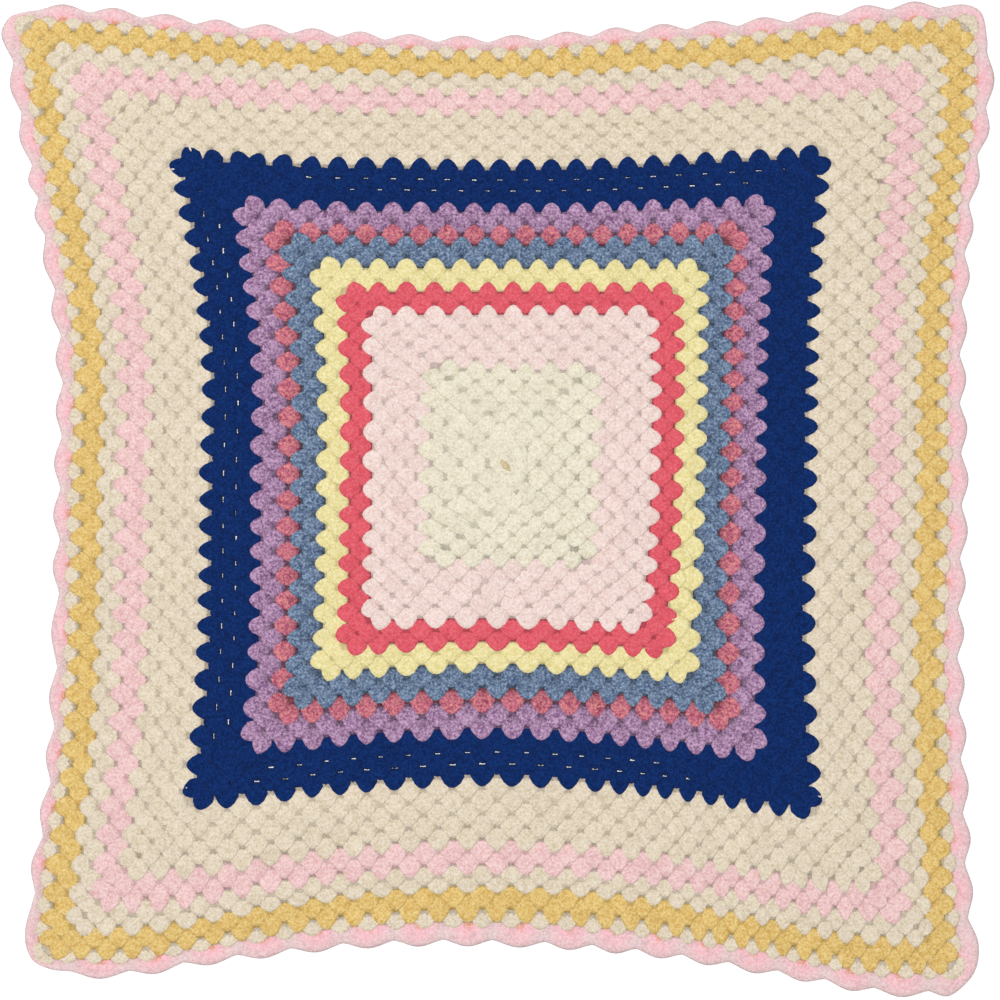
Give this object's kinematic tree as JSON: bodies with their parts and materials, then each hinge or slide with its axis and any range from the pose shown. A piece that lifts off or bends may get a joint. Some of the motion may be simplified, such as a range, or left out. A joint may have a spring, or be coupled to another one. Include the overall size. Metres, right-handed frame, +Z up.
{
  "type": "granny square blanket",
  "caption": "Crocheted granny square blanket worked in concentric striped rounds with a scalloped shell edging, laid out flat.",
  "frame": {"origin": "middle of the bounding box, on the underside that lies on the surface", "axes": "+Z up out of the blanket's right side, +Y towards the top edge of the picture, +X towards its right edge"},
  "size_m": [0.993, 0.9958, 0.0037],
  "materials": {
    "cream_yarn": "matte",
    "pink_yarn": "matte",
    "ivory_yarn": "matte",
    "pale_pink_yarn": "matte",
    "coral_yarn": "matte",
    "yellow_yarn": "matte",
    "slate_blue_yarn": "matte",
    "rose_yarn": "matte",
    "mauve_yarn": "matte",
    "navy_yarn": "matte",
    "gold_yarn": "matte"
  },
  "bodies": {
    "root": {"granny_square": "cream_yarn", "shell_edging": "pink_yarn"}
  },
  "joints": []
}
